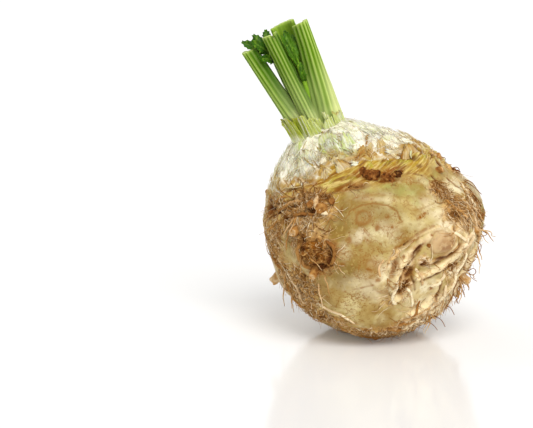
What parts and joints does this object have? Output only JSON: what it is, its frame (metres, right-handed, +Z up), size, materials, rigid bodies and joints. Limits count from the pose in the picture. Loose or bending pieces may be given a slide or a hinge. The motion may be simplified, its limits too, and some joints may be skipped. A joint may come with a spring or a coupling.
{
  "type": "celeriac",
  "caption": "Whole celeriac: a knobbly swollen root with trimmed patches and rootlets, and ribbed leaf stalks cut short above a torn pale crown.",
  "frame": {"origin": "on the small flat spot that the root rests on, straight below the centre of the root", "axes": "+Z up; +X to the right and -Y towards the viewer, seen from the front; the leaf stalks lean towards -X"},
  "size_m": [0.1347, 0.1141, 0.1683],
  "materials": {
    "root_skin": "rough, earthy skin with smooth pale cuts",
    "stalk_rind": "moist, ribbed and slightly glossy",
    "leaf_blade": "soft leaf, satin"
  },
  "bodies": {
    "root": {"root": "root_skin", "stalk_right": "stalk_rind", "stalk_middle": "stalk_rind", "stalk_left": "stalk_rind", "stalk_back_right": "stalk_rind", "stalk_back_left": "stalk_rind", "young_leaf_left": "leaf_blade", "young_leaf_right": "leaf_blade"}
  },
  "joints": []
}
